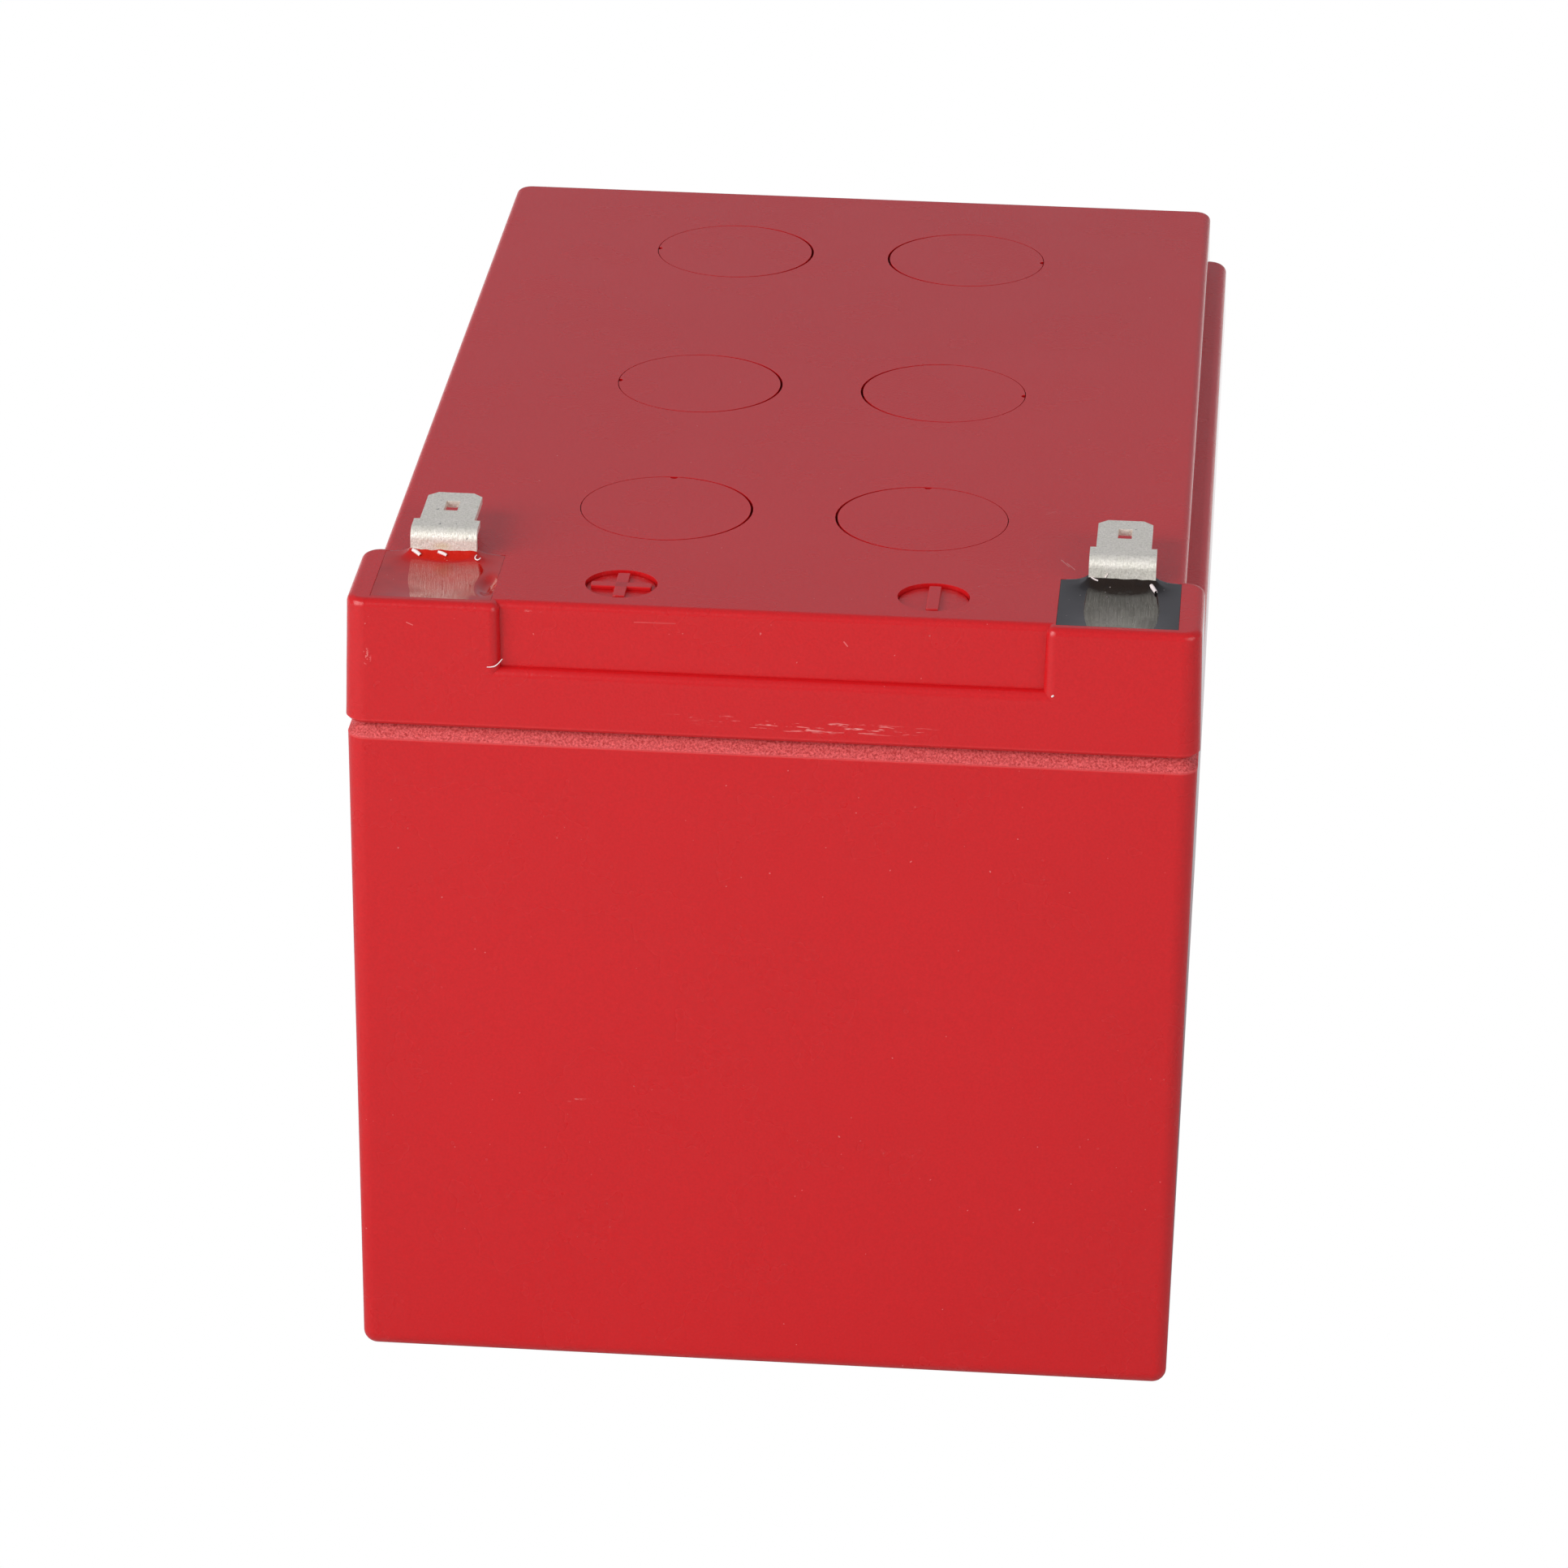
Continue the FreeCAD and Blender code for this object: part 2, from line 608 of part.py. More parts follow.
def make_blade(name, side):
    """Blade terminal folded from strip: foot, upright root and a tab that points back."""
    body = new_body("terminal_" + name)
    strip = sketch_in(body, "strip_outline_" + name, "YZ_Plane",
                      on_side(side, "blade_column"))
    outline(strip, [
        ("foot_tip", "well_bottom"),
        ("blade_y + blade_thickness", "well_bottom"),
        ("blade_y + blade_thickness", "blade_top - blade_thickness"),
        ("blade_tip", "blade_top - blade_thickness"),
        ("blade_tip", "blade_top"),
        ("blade_y", "blade_top"),
        ("blade_y", "well_bottom + blade_thickness"),
        ("foot_tip", "well_bottom + blade_thickness"),
    ])
    pad(body, "strip_" + name, strip, "blade_root_width", both_ways=True)
    bends = [("outer", "blade_y + blade_thickness", "well_bottom", "blade_outer_bend"),
             ("inner", "blade_y", "well_bottom + blade_thickness", "blade_bend"),
             ("crown", "blade_y", "blade_top", "blade_outer_bend"),
             ("hollow", "blade_y + blade_thickness", "blade_top - blade_thickness", "blade_bend")]
    for bend, along, up, radius in bends:
        y, z = amount(along), amount(up)
        ease_edges(body, "%s_bend_%s" % (bend, name),
                   lambda p, y=y, z=z: math.hypot(p.y - y, p.z - z) < SAME_PLACE, radius)
    trims = sketch_in(body, "trim_outline_" + name, "XY_Plane", "blade_top")
    column = on_side(side, "blade_column")
    for edge in ("-", "+"):
        near = "%s %s blade_width / 2" % (column, edge)
        far = "%s %s blade_root_width" % (column, edge)
        limits = (far, near) if edge == "-" else (near, far)
        rectangle(trims, *limits, "blade_step", "blade_tip + blade_thickness")
    pocket(body, "tab_trim_" + name, trims, "blade_thickness * 2")
    tip, middle, half = amount("blade_tip"), amount(column), amount("blade_width / 2")
    ease_edges(body, "tip_chamfer_" + name,
               lambda p: math.hypot(p.y - tip, abs(p.x - middle) - half) < SAME_PLACE,
               "blade_tip_chamfer", "Chamfer")
    detent = sketch_in(body, "detent_outline_" + name, "XY_Plane", "blade_top")
    rectangle(detent, column + " - detent_width / 2", column + " + detent_width / 2",
              "blade_tip - detent_from_tip - detent_length", "blade_tip - detent_from_tip")
    pocket(body, "detent_" + name, detent, "blade_thickness * 2")
    hole = sketch_in(body, "foot_hole_outline_" + name, "XY_Plane",
                     "well_bottom + blade_thickness")
    circle(hole, column, "post_y", "post_radius + post_clearance")
    pocket(body, "foot_hole_" + name, hole, "blade_thickness")
    return body


def make_end_strap(name, side):
    """Cast strap over the outer plates of an end cell, with the post that it carries."""
    body = new_body("terminal_strap_" + name)
    bar = sketch_in(body, "end_bar_outline_" + name, "XY_Plane", "strap_bottom")
    left, right = span(side, "cell_column - stack_half", "cell_column + stack_half")
    rectangle(bar, left, right, "-(cell_half_y - strap_clearance)",
              "-(cell_half_y - strap_clearance - strap_width)")
    pad(body, "end_bar_" + name, bar, "strap_thickness")
    post = sketch_in(body, "post_outline_" + name, "XY_Plane", "strap_bottom")
    circle(post, on_side(side, "blade_column"), "post_y", "post_radius")
    pad(body, "post_" + name, post, "post_top - strap_bottom")
    return body


def make_resin(name, side, blade, strap):
    """Resin that fills a terminal pocket around the blade's root and the post."""
    block = doc.addObject("Part::Box", "pocket_fill_" + name)
    bind(block, "Length", "pocket_width")
    bind(block, "Width", "pocket_length")
    bind(block, "Height", "resin_top - well_bottom")
    bind(block, ".Placement.Base.x", span(side, "pocket_inner", "pocket_outer")[0])
    bind(block, ".Placement.Base.y", "pocket_front")
    bind(block, ".Placement.Base.z", "well_bottom")
    around = doc.addObject("Part::Cut", "fill_round_blade_" + name)
    around.Base = block
    around.Tool = blade
    resin = doc.addObject("Part::Cut", "resin_" + name)
    resin.Base = around
    resin.Tool = strap
    resin.Label = "terminal_resin_" + name
    solids.append(resin)


# Plate groups: positive and negative plates with separators between them

def make_plates(kind, name, column, row, turned):
    """One cell's plates of one polarity, each with its lug at the same end."""
    body = new_body("%s_plates_%s" % (kind, name))
    thickness = kind + "_plate"
    count = "positive_count" if kind == "positive" else "(positive_count + 1)"
    first = "-(%s - 1) * plate_pitch / 2" % count
    face = sketch_in(body, "%s_outline_%s" % (kind, name), "YZ_Plane", first)
    end = -1 if (kind == "positive") != turned else 1
    lug_far = "plate_length / 2 - lug_inset"
    lug = span(end, lug_far + " - lug_width", lug_far)
    outline(face, [
        ("-plate_length / 2", "plate_bottom"),
        ("plate_length / 2", "plate_bottom"),
        ("plate_length / 2", "plate_top"),
        (lug[1], "plate_top"),
        (lug[1], "strap_bottom"),
        (lug[0], "strap_bottom"),
        (lug[0], "plate_top"),
        ("-plate_length / 2", "plate_top"),
    ])
    plate = pad(body, "%s_plate_%s" % (kind, name), face, thickness, both_ways=True)
    row_of_copies(body, "%s_row_%s" % (kind, name), plate, "X_Axis", "plate_pitch", count)
    bind(body, ".Placement.Base.x", column)
    bind(body, ".Placement.Base.y", row)


def make_separators(name, column, row):
    """Glass mat sheets, one on each face of every positive plate."""
    body = new_body("separators_" + name)
    plan = sketch_in(body, "mat_outline_" + name, "XY_Plane", "case_floor")
    first = "(positive_count - 1) * plate_pitch / 2"
    for near, far in (("positive_plate / 2", "positive_plate / 2 + separator"),
                      ("-positive_plate / 2 - separator", "-positive_plate / 2")):
        rectangle(plan, "%s - %s" % (near, first), "%s - %s" % (far, first),
                  "-separator_length / 2", "separator_length / 2")
    mats = pad(body, "mats_" + name, plan, "separator_height")
    row_of_copies(body, "mat_row_" + name, mats, "X_Axis", "plate_pitch", "positive_count")
    bind(body, ".Placement.Base.x", column)
    bind(body, ".Placement.Base.y", row)


def make_cell(side_name, row_number):
    """The left column has its positive end at the front, the right column at the back."""
    name = "%s_%d" % (side_name, row_number)
    side, row = SIDES[side_name], ROWS[row_number]
    column = on_side(side, "cell_column")
    place = "%d * cell_pitch" % row
    make_plates("positive", name, column, place, side > 0)
    make_plates("negative", name, column, place, side > 0)
    make_separators(name, column, place)


# Cell links: straps cast over the lugs and welded through the partitions

def draw_strap(sketch, side, row, end):
    """Plan of the strap at one end of a cell."""
    left, right = span(side, "cell_column - stack_half", "cell_column + stack_half")
    edge = "cell_length / 2 - strap_clearance"
    front, back = span(end, edge + " - strap_width", edge)
    shift = "%d * cell_pitch + " % row
    rectangle(sketch, left, right, shift + front, shift + back)


def make_cross_link(name, side, partition_row):
    """Link through the partition behind the front cell (-1) or the middle cell (1)."""
    body = new_body("cell_link_" + name)
    cells = {-1: (-1, 0), 1: (0, 1)}[partition_row]
    bars = sketch_in(body, "bars_outline_" + name, "XY_Plane", "strap_bottom")
    draw_strap(bars, side, cells[0], 1)
    draw_strap(bars, side, cells[1], -1)
    pad(body, "bars_" + name, bars, "strap_thickness")
    stones = sketch_in(body, "stones_outline_" + name, "XY_Plane", "strap_bottom")
    column = on_side(side, "cell_column")
    middle = "%d * cell_pitch / 2" % partition_row
    for face in (-1, 1):
        near = "partition / 2 + strap_clearance"
        front, back = span(face, near, near + " + tombstone_thickness")
        rectangle(stones, column + " - tombstone_width / 2", column + " + tombstone_width / 2",
                  "%s + %s" % (middle, front), "%s + %s" % (middle, back))
    pad(body, "stones_" + name, stones, "strap_thickness + tombstone_rise")
    weld = sketch_in(body, "weld_outline_" + name, "XZ_Plane", "-(%s)" % middle)
    circle(weld, column, "weld_height", "weld_radius")
    pad(body, "weld_" + name, weld, "partition + 2 * tombstone_thickness", both_ways=True)


def make_middle_link(name):
    """Link across the back between the two columns."""
    body = new_body("cell_link_" + name)
    bars = sketch_in(body, "bars_outline_" + name, "XY_Plane", "strap_bottom")
    stones = sketch_in(body, "stones_outline_" + name, "XY_Plane", "strap_bottom")
    front, back = "strap_line - strap_width / 2", "strap_line + strap_width / 2"
    for side in SIDES.values():
        near = "partition / 2 + strap_clearance"
        rectangle(bars, *span(side, near, "cell_column + stack_half"), front, back)
        rectangle(stones, *span(side, near, near + " + tombstone_thickness"), front, back)
    pad(body, "bars_" + name, bars, "strap_thickness")
    pad(body, "stones_" + name, stones, "strap_thickness + tombstone_rise")
    weld = sketch_in(body, "weld_outline_" + name, "YZ_Plane")
    circle(weld, "strap_line", "weld_height", "weld_radius")
    pad(body, "weld_" + name, weld, "partition + 2 * tombstone_thickness", both_ways=True)


def build():
    make_case()
    make_lid()
    make_adhesive()
    for name, side, row_place in each_vent():
        make_vent(name, side, row_place)
    for name, side in (("positive", -1), ("negative", 1)):
        blade = make_blade(name, side)
        strap = make_end_strap(name, side)
        make_resin(name, side, blade, strap)
    for side_name in SIDES:
        for row_number in ROWS:
            make_cell(side_name, row_number)
    make_cross_link("1", -1, -1)
    make_cross_link("2", -1, 1)
    make_middle_link("3")
    make_cross_link("4", 1, 1)
    make_cross_link("5", 1, -1)


def write_solids():
    """Check every object, then write one file for each sub-part."""
    doc.removeObject(spare.Name)
    doc.recompute()
    for item in doc.Objects:
        if "Invalid" in item.State or "Error" in item.State:
            raise RuntimeError("%s failed: %s" % (item.Label, item.State))
    for item in solids:
        if item.Shape.isNull() or not item.Shape.isValid():
            raise RuntimeError(item.Label + " has no valid shape")
    os.makedirs("parts", exist_ok=True)
    for item in solids:
        item.Shape.exportStep(os.path.join("parts", item.Label + ".step"))


build()
write_solids()
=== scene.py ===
import math

import bmesh
import bpy
from mathutils import Euler, Matrix, Vector, noise


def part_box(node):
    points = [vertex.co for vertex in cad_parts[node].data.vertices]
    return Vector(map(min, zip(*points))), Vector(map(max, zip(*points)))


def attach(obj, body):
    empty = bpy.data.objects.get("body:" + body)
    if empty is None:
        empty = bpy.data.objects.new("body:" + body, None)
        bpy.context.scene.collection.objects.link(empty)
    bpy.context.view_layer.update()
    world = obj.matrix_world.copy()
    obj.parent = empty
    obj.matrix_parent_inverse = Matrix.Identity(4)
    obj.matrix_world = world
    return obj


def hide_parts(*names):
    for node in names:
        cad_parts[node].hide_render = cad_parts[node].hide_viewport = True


MM = 0.001

# Places on the battery, in millimetres in the row frame: x right, y back, z up.
LID_TOP = 97.0
SKIRT_BOTTOM = 81.8
SHOULDER = 80.0
FRONT_FACES = -70.0  # what lies in front of this y is on a front face
BLADE_COLUMN = 39.15
BLADE_FRONT = -61.2
BLADE_THICKNESS = 0.8
BLADE_MIDDLE = BLADE_FRONT + BLADE_THICKNESS / 2
BLADE_HALF_WIDTH = 3.85
SIDES = {"positive": -1, "negative": 1}

# The + and - marks, in millimetres.
MARK_COLUMN = 17.9
MARK_ROW = -67.05
MARK_DEPTH = 0.7
PAD_HEIGHT = 0.2
PAD_RADIUS = 4.06
PAD_TOP_RADIUS = 4.02
BAR_HALF_WIDTH = 0.7
BAR_REACH = 3.5
BAR_HEIGHT = 0.5
BAR_SINK = 0.05
CROSSBAR_DROP = 0.002  # keeps the tops of the two bars out of one plane
MARK_BEVEL = 0.12

# The cast surface of the resin, in millimetres.
RESIN_STEP = 0.14
RESIN_BELOW_LID = 0.03
BOWL_DEPTH = 0.42
CLIMB_HEIGHT = 1.0
CLIMB_UNEVEN = 0.18
CLIMB_REACH = 0.75
WAVE_HEIGHT = 0.025
PIT_PLACE = (-33.1, -68.8)
PIT_REACH = (1.0, 2.6)
PIT_DEPTH = 0.55

TERMINAL_BEVEL = 0.08

# Colours of the red plastic, with painted highlights along the skirt's lip and the shoulder's
# edge, and a dark groove tone that is both grit and painted shade.
PLASTIC_RED = (0.62, 0.0075, 0.0105)
DUST = (0.8, 0.4, 0.38, 1)
CHIPPED = (0.9, 0.45, 0.42, 1)
# Painted highlight: a brighter red for the band on the skirt just above its bottom edge.
SKIRT_LIP_HIGHLIGHT = (0.9, 0.09, 0.09, 1)
# Painted highlight: a bright red for the line along the shoulder's edge below the groove.
SHOULDER_EDGE_HIGHLIGHT = (0.9, 0.1, 0.1, 1)
# The groove's dark tone serves for its grit and also as painted shade under the skirt.
GROOVE_DARK_GRIT_AND_SHADE = (0.46, 0.018, 0.018, 1)
GROOVE_PALE = (0.86, 0.145, 0.145, 1)

# Scuffed places in millimetres: centre, reach, stretch of the marks, and strength.
SCUFFED = [
    ((6.0, -75.4, 83.8), (17.0, 3.0, 0.85), (0.16, 1, 1.5), 1.0),
    ((-7.0, -75.4, 84.5), (6.0, 3.0, 0.45), (0.2, 1, 1.5), 0.25),
    ((-22.0, -75.4, 34.6), (3.4, 3.0, 0.5), (0.3, 1, 1.6), 0.35),
    ((-46.2, -75.2, 90.0), (0.6, 3.0, 1.6), (1.0, 1, 0.8), 0.55),
    ((-27.5, -74.3, 96.0), (1.6, 3.0, 0.3), (0.5, 1, 1.5), 0.42),
]

# Fine scratches in millimetres: start, end, width, and strength.
SCRATCHED = [
    ((-15.7, -74.2, 95.2), (-11.0, -74.2, 95.25), 0.14, 0.14),
    ((8.2, -74.2, 93.9), (8.6, -74.2, 93.4), 0.15, 0.36),
    ((-41.6, -75.3, 94.5), (-40.9, -75.3, 94.2), 0.12, 0.34),
    ((31.9, -54.1, 97.0), (32.9, -56.1, 97.0), 0.16, 0.5),
    ((32.6, -55.0, 97.0), (33.6, -57.0, 97.0), 0.13, 0.5),
    ((29.5, -40.0, 97.0), (30.6, -39.0, 97.0), 0.12, 0.28),
]

# Resins: material and slot, tone, second tone, the collar's tone, and the collar's reach
# from the blade in millimetres.
RESINS = {
    "positive": ("red_resin", (0.52, 0.005, 0.002, 1), (0.42, 0.003, 0.002, 1),
                 (0.54, 0.012, 0.004, 1), 1.9),
    "negative": ("black_resin", (0.006, 0.005, 0.005, 1), (0.012, 0.009, 0.008, 1),
                 (0.020, 0.013, 0.010, 1), 3.2),
}
COLLAR_ASIDE = 1.2
COLLAR_HEIGHT = 3.0
RESIN_FLECK = (0.8, 0.7, 0.66, 1)

# Tin-plated brass.
TIN_TONES = ((0.88, 0.86, 0.74, 1), (0.97, 0.93, 0.84, 1))
TIN_PIT = (0.5, 0.47, 0.40, 1)
TIN_SPOT = (0.12, 0.13, 0.13, 1)
TIN_STAIN = (0.75, 0.62, 0.30, 1)
STAIN_PLACE = (-39.3, BLADE_FRONT, 98.3)
STAIN_REACH = (1.6, 0.5, 0.7)

FILM_TONES = ((0.95, 0.88, 0.86, 1), (0.85, 0.7, 0.68, 1))

# Matt materials of the sealed inner pieces: two tones, roughness, grain per metre, relief in
# metres, and metallic share.
MATT = {
    "cast_lead": ((0.2, 0.21, 0.23, 1), (0.36, 0.37, 0.4, 1), 0.55, 900, 0.00005, 1.0),
    "valve_rubber": ((0.015, 0.015, 0.016, 1), (0.03, 0.03, 0.03, 1), 0.7, 1500, 0.00002, 0.0),
    "adhesive": ((0.2, 0.04, 0.04, 1), (0.3, 0.07, 0.06, 1), 0.5, 800, 0.00003, 0.0),
    "positive_paste": ((0.07, 0.03, 0.02, 1), (0.14, 0.06, 0.04, 1), 0.85, 1800, 0.00008, 0.0),
    "negative_paste": ((0.16, 0.17, 0.18, 1), (0.27, 0.28, 0.3, 1), 0.8, 1800, 0.00008, 0.0),
    "glass_mat": ((0.75, 0.75, 0.73, 1), (0.9, 0.9, 0.88, 1), 0.9, 2500, 0.00006, 0.0),
}

# The material of each CAD node, by how its name starts; the longest start counts.
FINISHES = {
    "case": "red_moulded_plastic",
    "lid": "red_moulded_plastic",
    "lid_adhesive": "adhesive",
    "vent_cover": "red_moulded_plastic",
    "valve_cap": "valve_rubber",
    "terminal": "tinned_brass",
    "terminal_strap": "cast_lead",
    "cell_link": "cast_lead",
    "positive_plates": "positive_paste",
    "negative_plates": "negative_paste",
    "separators": "glass_mat",
}

# Thin white shreds in millimetres: name, the slot they belong with, width, and points.
SHREDS = [
    ("sliver_positive_1", "tinned_brass", 0.56,
     [(-42.78, -61.32, 97.80), (-42.25, -61.46, 97.64), (-41.79, -61.81, 97.33)]),
    ("sliver_positive_2", "tinned_brass", 0.48,
     [(-39.77, -61.39, 97.68), (-39.16, -61.50, 97.57), (-38.73, -61.69, 97.40)]),
    ("sliver_positive_3", "tinned_brass", 0.17,
     [(-35.25, -61.57, 97.55), (-35.55, -61.88, 97.31), (-34.98, -62.39, 97.15),
      (-34.75, -62.00, 97.40)]),
    ("sliver_negative_1", "tinned_brass", 0.24,
     [(35.60, -61.25, 97.92), (36.01, -61.42, 97.69), (36.41, -61.47, 97.61)]),
    ("sliver_negative_2", "tinned_brass", 0.14,
     [(37.20, -61.28, 97.92), (37.35, -61.26, 98.15), (37.50, -61.28, 98.42)]),
    ("sliver_negative_3", "tinned_brass", 0.60,
     [(42.51, -61.72, 97.41), (42.70, -62.13, 97.25), (43.10, -62.89, 97.05)]),
    ("strand_left", "lid_plastic", 0.15,
     [(-32.40, -75.45, 89.50), (-31.70, -75.45, 89.50), (-31.10, -75.25, 89.85),
      (-30.70, -74.90, 90.35)]),
    ("strand_right", "lid_plastic", 0.26,
     [(31.95, -75.42, 88.85), (32.05, -75.42, 88.95), (32.20, -75.42, 89.05)]),
]

# Camera solved from the photo: place in millimetres, turns in degrees, and lens for a 36 mm
# sensor.
CAMERA_PLACE = (52.966, -745.951, 375.975)
CAMERA_TURNS = (65.99891, -0.72180, 4.69230)
CAMERA_LENS = 147.86
SENSOR_WIDTH = 36

# The floor reaches this far each way in millimetres, a hair below the battery.
FLOOR_REACH = 3000.0
FLOOR_LEVEL = -0.05
FLOOR_TONE = (0.61, 0.61, 0.61, 1)

WHITE = (1, 1, 1, 1)
AMBIENT = (0.34, 0.34, 0.38, 1)

# Area lamps in metres: name, place, target, size, power in watts, and colour.
LAMPS = [
    ("key", (-0.66, -0.62, 0.44), (0, 0, 0.05), (0.75, 0.7), 7.6, (1, 1, 1)),
    ("fill", (0.8, -0.75, 0.5), (0, 0, 0.05), (0.8, 0.7), 3.9, (1, 1, 1)),
    ("back", (0, 2.2, 1.1), (0, 0, 0.08), (3.2, 1.6), 1.1, (0.9, 0.94, 1.0)),
]

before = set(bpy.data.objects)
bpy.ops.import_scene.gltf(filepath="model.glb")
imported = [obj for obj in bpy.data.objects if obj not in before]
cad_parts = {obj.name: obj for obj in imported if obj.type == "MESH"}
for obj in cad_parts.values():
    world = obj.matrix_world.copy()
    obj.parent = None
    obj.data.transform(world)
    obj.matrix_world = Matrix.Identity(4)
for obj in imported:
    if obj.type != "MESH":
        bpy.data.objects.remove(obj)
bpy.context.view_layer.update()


# Shader building

class Shader:
    """Adds nodes to one new material and joins them."""

    def __init__(self, name):
        self.material = bpy.data.materials.new(name)
        self.material.use_nodes = True
        self.tree = self.material.node_tree
        self.surface = self.tree.nodes["Principled BSDF"]

    def add(self, kind, **settings):
        node = self.tree.nodes.new("ShaderNode" + kind)
        for key, setting in settings.items():
            setattr(node, key, setting)
        return node

    def join(self, source, target):
        self.tree.links.new(source, target)

    def put(self, socket, content):
        """Join a socket to the content, or set it where the content is a plain value."""
        if isinstance(content, bpy.types.NodeSocket):
            self.join(content, socket)
        else:
            socket.default_value = content

    def set(self, **contents):
        """Fill the surface's inputs, named with _ for a space."""
        for name, content in contents.items():
            self.put(self.surface.inputs[name.replace("_", " ")], content)

    def place(self):
        return self.add("NewGeometry").outputs["Position"]

    def normal(self):
        return self.add("NewGeometry").outputs["Normal"]

    def vector(self, operation, first, second=(0, 0, 0), result="Vector"):
        node = self.add("VectorMath", operation=operation)
        self.put(node.inputs[0], first)
        self.put(node.inputs[1], second)
        return node.outputs[result]

    def noise(self, per_metre, detail=2.0, roughness=0.5, stretch=(1, 1, 1), offset=0.0):
        node = self.add("TexNoise", noise_dimensions="4D")
        scale = [per_metre * part for part in stretch]
        self.join(self.vector("MULTIPLY", self.place(), scale), node.inputs["Vector"])
        node.inputs["Scale"].default_value = 1.0
        node.inputs["W"].default_value = offset
        node.inputs["Detail"].default_value = detail
        node.inputs["Roughness"].default_value = roughness
        return node.outputs["Fac"]

    def range(self, source, low, high, to_low=0.0, to_high=1.0, smooth=False):
        node = self.add("MapRange", interpolation_type="SMOOTHSTEP" if smooth else "LINEAR")
        self.join(source, node.inputs["Value"])
        for name, content in (("From Min", low), ("From Max", high),
                              ("To Min", to_low), ("To Max", to_high)):
            node.inputs[name].default_value = content
        return node.outputs["Result"]

    def math(self, operation, first, second=0.0):
        node = self.add("Math", operation=operation)
        self.put(node.inputs[0], first)
        self.put(node.inputs[1], second)
        return node.outputs[0]

    def plus(self, base, mask, amount):
        return self.math("ADD", base, self.math("MULTIPLY", mask, amount))

    def mix(self, factor, first, second):
        node = self.add("Mix", data_type="RGBA")
        self.put(node.inputs["Factor"], factor)
        self.put(node.inputs[6], first)
        self.put(node.inputs[7], second)
        return node.outputs[2]

    def tint(self, tone, mask, strength, colour):
        return self.mix(self.math("MULTIPLY", mask, strength), tone, colour)

    def part_of(self, source, axis):
        node = self.add("SeparateXYZ")
        self.join(source, node.inputs[0])
        return node.outputs[axis]

    def bump(self, height, distance, over=None):
        node = self.add("Bump")
        node.inputs["Distance"].default_value = distance
        node.inputs["Strength"].default_value = 1.0
        self.join(height, node.inputs["Height"])
        if over:
            self.join(over, node.inputs["Normal"])
        return node.outputs["Normal"]


def in_metres(sizes):
    return [part * MM for part in sizes]


def shaded(colour, factor):
    return [part * factor for part in colour] + [1]


def band(shader, height, low, high, soft):
    """1 between two heights in millimetres and 0 outside them, with soft limits."""
    low, high, soft = in_metres((low, high, soft))
    rising = shader.range(height, low - soft, low + soft, smooth=True)
    falling = shader.range(height, high - soft, high + soft, 1.0, 0.0, smooth=True)
    return shader.math("MULTIPLY", rising, falling)


def patch(shader, centre, reach, soft):
    """1 inside an ellipsoid on the surface and 0 outside it; places in millimetres."""
    away = shader.vector("SUBTRACT", shader.place(), in_metres(centre))
    share = shader.vector("DIVIDE", away, in_metres(reach))
    far = shader.vector("LENGTH", share, result="Value")
    return shader.range(far, 1 - soft, 1.0, 1.0, 0.0, smooth=True)


def scratch(shader, start, end, width):
    """1 on a fine straight line between two places in millimetres, nearly whatever its depth."""
    flatten = Vector((1, 0.05, 1)) if start[1] < FRONT_FACES else Vector((1, 1, 0.05))
    first = Vector(start) * flatten * MM
    along = Vector(end) * flatten * MM - first
    away = shader.vector("SUBTRACT", shader.vector("MULTIPLY", shader.place(), flatten), first)
    share = shader.vector("DOT_PRODUCT", away, along / along.length_squared, "Value")
    kept = shader.math("MAXIMUM", shader.math("MINIMUM", share, 1.0), 0.0)
    nearest = shader.add("VectorMath", operation="SCALE")
    nearest.inputs[0].default_value = along
    shader.join(kept, nearest.inputs["Scale"])
    off = shader.vector("DISTANCE", away, nearest.outputs[0], "Value")
    return shader.range(off, width * 0.25 * MM, width * 0.6 * MM, 1.0, 0.0)


def scuffs(shader):
    """Pale scratches and chips where the moulding was handled."""
    marks = []
    for number, (centre, reach, stretch, strength) in enumerate(SCUFFED):
        streak = shader.noise(1700, 3, 0.75, stretch=stretch, offset=11.0 + number)
        streak = shader.range(streak, 0.545, 0.61, 0.0, strength)
        marks.append(shader.math("MULTIPLY", streak, patch(shader, centre, reach, 0.7)))
    for start, end, width, strength in SCRATCHED:
        marks.append(shader.math("MULTIPLY", scratch(shader, start, end, width), strength))
    total = marks[0]
    for mark in marks[1:]:
        total = shader.math("MAXIMUM", total, mark)
    return total


